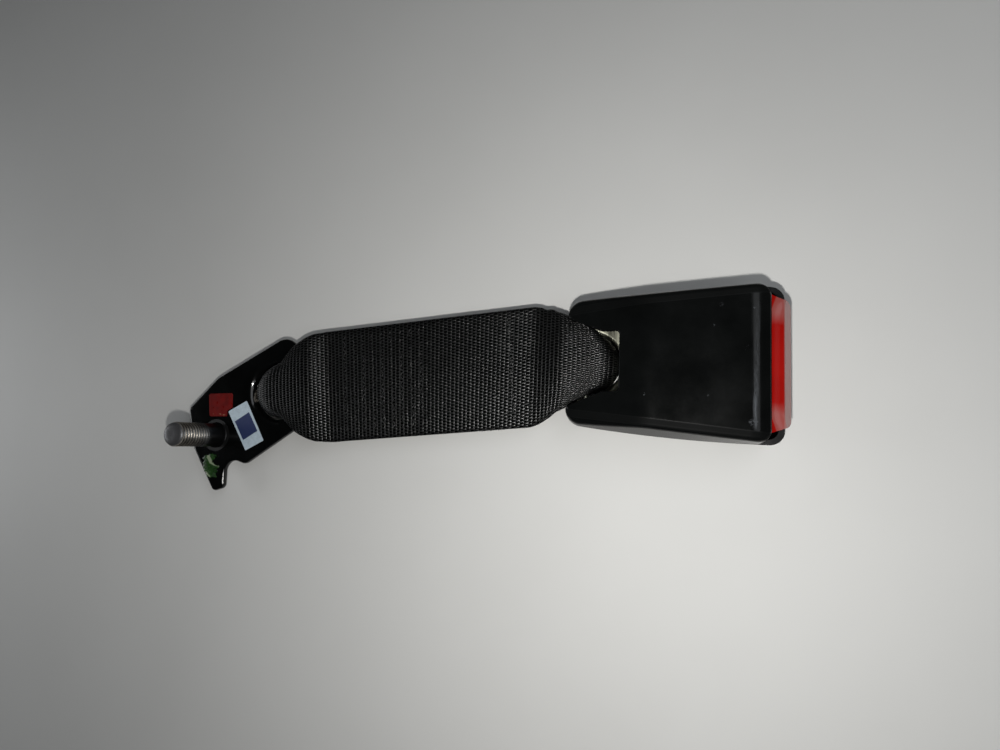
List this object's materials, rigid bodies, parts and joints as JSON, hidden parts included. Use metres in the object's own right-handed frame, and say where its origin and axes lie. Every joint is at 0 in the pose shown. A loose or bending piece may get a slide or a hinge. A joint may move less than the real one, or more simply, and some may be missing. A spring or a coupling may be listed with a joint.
{
  "type": "seat belt buckle",
  "caption": "Push-button seat belt buckle on a short sewn webbing strap, with a flat steel anchor plate and a captive stud bolt at the other end.",
  "frame": {"origin": "on the anchor bolt's axis, in the plane of the anchor plate's upper face, which is the face that seats against the vehicle", "axes": "+X along the assembly towards the push button, +Z along the bolt's axis towards its threaded tip, +Y completing a right-handed frame"},
  "size_m": [0.2478, 0.0849, 0.0342],
  "materials": {
    "front_cover": "satin black moulded plastic",
    "rear_cover": "satin black moulded plastic",
    "press_button": "glossy red moulded plastic",
    "buckle_frame": "zinc plated steel with a warm passivated tint",
    "latch_plate": "hardened steel, bright",
    "latch_pin": "ground steel",
    "latch_spring": "spring steel",
    "mechanism_carrier": "grey moulded plastic",
    "mouth_guide": "black moulded plastic",
    "ejector": "natural moulded plastic",
    "ejector_spring": "spring steel wire",
    "button_springs": "spring steel wire",
    "webbing": "black woven polyester webbing",
    "thread": "black polyester thread",
    "anchor_plate": "gloss black e-coat",
    "bolt_retainer": "black moulded plastic",
    "washer": "dark phosphated steel",
    "bolt": "dark phosphated steel with bare thread crests",
    "red_label": "red film sticker",
    "white_label": "white film sticker with a plain blue block",
    "paint": "green paint dab"
  },
  "bodies": {
    "buckle": {"front_cover": "front_cover", "rear_cover": "rear_cover", "buckle_frame": "buckle_frame", "latch_pin": "latch_pin", "latch_spring": "latch_spring", "mechanism_carrier": "mechanism_carrier", "mouth_guide": "mouth_guide", "ejector_spring": "ejector_spring", "button_springs": "button_springs"},
    "button": {"press_button": "press_button"},
    "latch": {"latch_plate": "latch_plate"},
    "ejector": {"ejector": "ejector"},
    "webbing": {"webbing_body": "webbing", "webbing_buckle_loop": "webbing", "webbing_plate_loop": "webbing", "webbing_stitching": "thread"},
    "anchor": {"anchor_plate": "anchor_plate", "bolt_retainer": "bolt_retainer", "red_label": "red_label", "white_label": "white_label", "paint_mark": "paint"},
    "bolt": {"anchor_bolt": "bolt", "bolt_washer": "washer"}
  },
  "joints": [
    {"name": "button_press", "type": "slide", "parent": "buckle", "child": "button", "axis": [-1, 0, 0], "range_m": [0, 0.006], "stiffness_N_per_m": 1500, "springref_m": -0.006, "deforming": ["button_springs"]},
    {"name": "latch_pivot", "type": "hinge", "parent": "buckle", "child": "latch", "pos_m": [0.186, 0.0333, 0.0065], "axis": [0, -1, 0], "range_deg": [0, 16.01], "deforming": ["latch_spring"]},
    {"name": "ejector_slide", "type": "slide", "parent": "buckle", "child": "ejector", "axis": [-1, 0, 0], "range_m": [0, 0.01], "stiffness_N_per_m": 800, "springref_m": -0.006, "deforming": ["ejector_spring"]},
    {"name": "buckle_swing", "type": "hinge", "parent": "buckle", "child": "webbing", "pos_m": [0.16075, 0.0333, -0.0015], "axis": [0, 1, 0], "range_deg": [-15, 15]},
    {"name": "anchor_swing", "type": "hinge", "parent": "webbing", "child": "anchor", "pos_m": [0.03645, 0.02077, -0.0015], "axis": [-0.1092, 0.994, 0], "range_deg": [-30, 30]},
    {"name": "bolt_spin", "type": "hinge", "parent": "anchor", "child": "bolt", "pos_m": [0, 0, 0], "axis": [0, 0, 1], "continuous": true}
  ],
  "couplings": [
    {"joint": "latch_pivot", "follows": "button_press", "rad_per_m": 46.542}
  ]
}
